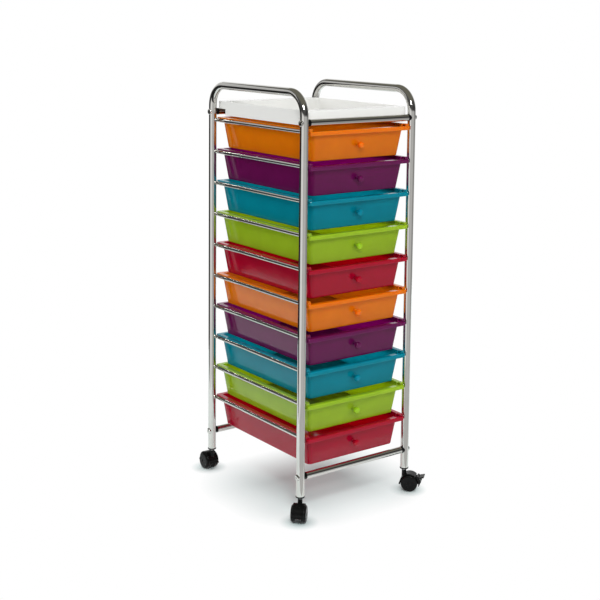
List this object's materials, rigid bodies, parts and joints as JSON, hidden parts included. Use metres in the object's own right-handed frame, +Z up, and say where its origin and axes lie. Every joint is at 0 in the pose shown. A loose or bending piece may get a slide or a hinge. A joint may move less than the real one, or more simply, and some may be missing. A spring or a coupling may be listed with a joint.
{
  "type": "rolling drawer cart",
  "caption": "Tall rolling cart with a bent chrome tube frame, sliding coloured plastic drawer bins, a white top tray and hooded swivel casters, some with a brake.",
  "frame": {"origin": "on the floor at the middle of the four legs", "axes": "+X to the right for someone facing the drawers, +Y to the back, +Z up"},
  "size_m": [0.3936, 0.4508, 0.9645],
  "materials": {
    "chrome_tube": "polished",
    "bright_steel": "bright",
    "black_plastic": "semi-gloss",
    "black_wheel": "satin",
    "white_plastic": "gloss",
    "orange_plastic": "gloss",
    "purple_plastic": "gloss",
    "teal_plastic": "gloss",
    "green_plastic": "gloss",
    "red_plastic": "gloss"
  },
  "bodies": {
    "frame": {"left_frame_tube": "chrome_tube", "right_frame_tube": "chrome_tube", "left_drawer_rails": "chrome_tube", "right_drawer_rails": "chrome_tube", "top_cross_bars": "chrome_tube", "bottom_cross_bars": "chrome_tube", "bar_end_collars": "black_plastic", "frame_bolts": "bright_steel", "top_tray": "white_plastic", "leg_sockets": "black_plastic", "caster_stems": "bright_steel"},
    "drawer_01": {"drawer_01_bin": "orange_plastic", "drawer_01_knob": "orange_plastic", "drawer_01_screw": "bright_steel"},
    "drawer_02": {"drawer_02_bin": "purple_plastic", "drawer_02_knob": "purple_plastic", "drawer_02_screw": "bright_steel"},
    "drawer_03": {"drawer_03_bin": "teal_plastic", "drawer_03_knob": "teal_plastic", "drawer_03_screw": "bright_steel"},
    "drawer_04": {"drawer_04_bin": "green_plastic", "drawer_04_knob": "green_plastic", "drawer_04_screw": "bright_steel"},
    "drawer_05": {"drawer_05_bin": "red_plastic", "drawer_05_knob": "red_plastic", "drawer_05_screw": "bright_steel"},
    "drawer_06": {"drawer_06_bin": "orange_plastic", "drawer_06_knob": "orange_plastic", "drawer_06_screw": "bright_steel"},
    "drawer_07": {"drawer_07_bin": "purple_plastic", "drawer_07_knob": "purple_plastic", "drawer_07_screw": "bright_steel"},
    "drawer_08": {"drawer_08_bin": "teal_plastic", "drawer_08_knob": "teal_plastic", "drawer_08_screw": "bright_steel"},
    "drawer_09": {"drawer_09_bin": "green_plastic", "drawer_09_knob": "green_plastic", "drawer_09_screw": "bright_steel"},
    "drawer_10": {"drawer_10_bin": "red_plastic", "drawer_10_knob": "red_plastic", "drawer_10_screw": "bright_steel"},
    "caster_front_left": {"caster_front_left_hood": "black_plastic", "caster_front_left_axle": "bright_steel"},
    "caster_front_left_wheel_a": {"caster_front_left_wheel_a": "black_wheel"},
    "caster_front_left_wheel_b": {"caster_front_left_wheel_b": "black_wheel"},
    "caster_front_right": {"caster_front_right_hood": "black_plastic", "caster_front_right_axle": "bright_steel"},
    "caster_front_right_wheel_a": {"caster_front_right_wheel_a": "black_wheel"},
    "caster_front_right_wheel_b": {"caster_front_right_wheel_b": "black_wheel"},
    "caster_front_right_brake_lever": {"caster_front_right_brake_lever": "black_plastic"},
    "caster_rear_left": {"caster_rear_left_hood": "black_plastic", "caster_rear_left_axle": "bright_steel"},
    "caster_rear_left_wheel_a": {"caster_rear_left_wheel_a": "black_wheel"},
    "caster_rear_left_wheel_b": {"caster_rear_left_wheel_b": "black_wheel"},
    "caster_rear_right": {"caster_rear_right_hood": "black_plastic", "caster_rear_right_axle": "bright_steel"},
    "caster_rear_right_wheel_a": {"caster_rear_right_wheel_a": "black_wheel"},
    "caster_rear_right_wheel_b": {"caster_rear_right_wheel_b": "black_wheel"},
    "caster_rear_right_brake_lever": {"caster_rear_right_brake_lever": "black_plastic"}
  },
  "joints": [
    {"name": "drawer_01_slide", "type": "slide", "parent": "frame", "child": "drawer_01", "axis": [0, -1, 0], "range_m": [0, 0.25]},
    {"name": "drawer_02_slide", "type": "slide", "parent": "frame", "child": "drawer_02", "axis": [0, -1, 0], "range_m": [0, 0.25]},
    {"name": "drawer_03_slide", "type": "slide", "parent": "frame", "child": "drawer_03", "axis": [0, -1, 0], "range_m": [0, 0.25]},
    {"name": "drawer_04_slide", "type": "slide", "parent": "frame", "child": "drawer_04", "axis": [0, -1, 0], "range_m": [0, 0.25]},
    {"name": "drawer_05_slide", "type": "slide", "parent": "frame", "child": "drawer_05", "axis": [0, -1, 0], "range_m": [0, 0.25]},
    {"name": "drawer_06_slide", "type": "slide", "parent": "frame", "child": "drawer_06", "axis": [0, -1, 0], "range_m": [0, 0.25]},
    {"name": "drawer_07_slide", "type": "slide", "parent": "frame", "child": "drawer_07", "axis": [0, -1, 0], "range_m": [0, 0.25]},
    {"name": "drawer_08_slide", "type": "slide", "parent": "frame", "child": "drawer_08", "axis": [0, -1, 0], "range_m": [0, 0.25]},
    {"name": "drawer_09_slide", "type": "slide", "parent": "frame", "child": "drawer_09", "axis": [0, -1, 0], "range_m": [0, 0.25]},
    {"name": "drawer_10_slide", "type": "slide", "parent": "frame", "child": "drawer_10", "axis": [0, -1, 0], "range_m": [0, 0.25]},
    {"name": "caster_front_left_swivel", "type": "hinge", "parent": "frame", "child": "caster_front_left", "pos_m": [-0.154, -0.184, 0.049], "axis": [0, 0, 1], "continuous": true},
    {"name": "caster_front_left_wheel_a_roll", "type": "hinge", "parent": "caster_front_left", "child": "caster_front_left_wheel_a", "pos_m": [-0.1639, -0.1939, 0.02], "axis": [0.7071, -0.7071, 0], "continuous": true},
    {"name": "caster_front_left_wheel_b_roll", "type": "hinge", "parent": "caster_front_left", "child": "caster_front_left_wheel_b", "pos_m": [-0.1639, -0.1939, 0.02], "axis": [0.7071, -0.7071, 0], "continuous": true},
    {"name": "caster_front_right_swivel", "type": "hinge", "parent": "frame", "child": "caster_front_right", "pos_m": [0.154, -0.184, 0.049], "axis": [0, 0, 1], "continuous": true},
    {"name": "caster_front_right_wheel_a_roll", "type": "hinge", "parent": "caster_front_right", "child": "caster_front_right_wheel_a", "pos_m": [0.163, -0.19473, 0.02], "axis": [0.766, 0.6428, 0], "continuous": true},
    {"name": "caster_front_right_wheel_b_roll", "type": "hinge", "parent": "caster_front_right", "child": "caster_front_right_wheel_b", "pos_m": [0.163, -0.19473, 0.02], "axis": [0.766, 0.6428, 0], "continuous": true},
    {"name": "caster_front_right_brake_press", "type": "hinge", "parent": "caster_front_right", "child": "caster_front_right_brake_lever", "pos_m": [0.17579, -0.20997, 0.03446], "axis": [0.766, 0.6428, 0], "range_deg": [0, 6]},
    {"name": "caster_rear_left_swivel", "type": "hinge", "parent": "frame", "child": "caster_rear_left", "pos_m": [-0.154, 0.184, 0.049], "axis": [0, 0, 1], "continuous": true},
    {"name": "caster_rear_left_wheel_a_roll", "type": "hinge", "parent": "caster_rear_left", "child": "caster_rear_left_wheel_a", "pos_m": [-0.154, 0.198, 0.02], "axis": [-1, 0, 0], "continuous": true},
    {"name": "caster_rear_left_wheel_b_roll", "type": "hinge", "parent": "caster_rear_left", "child": "caster_rear_left_wheel_b", "pos_m": [-0.154, 0.198, 0.02], "axis": [-1, 0, 0], "continuous": true},
    {"name": "caster_rear_right_swivel", "type": "hinge", "parent": "frame", "child": "caster_rear_right", "pos_m": [0.154, 0.184, 0.049], "axis": [0, 0, 1], "continuous": true},
    {"name": "caster_rear_right_wheel_a_roll", "type": "hinge", "parent": "caster_rear_right", "child": "caster_rear_right_wheel_a", "pos_m": [0.16669, 0.18992, 0.02], "axis": [-0.4226, 0.9063, 0], "continuous": true},
    {"name": "caster_rear_right_wheel_b_roll", "type": "hinge", "parent": "caster_rear_right", "child": "caster_rear_right_wheel_b", "pos_m": [0.16669, 0.18992, 0.02], "axis": [-0.4226, 0.9063, 0], "continuous": true},
    {"name": "caster_rear_right_brake_press", "type": "hinge", "parent": "caster_rear_right", "child": "caster_rear_right_brake_lever", "pos_m": [0.18473, 0.19833, 0.03446], "axis": [-0.4226, 0.9063, 0], "range_deg": [0, 6]}
  ]
}
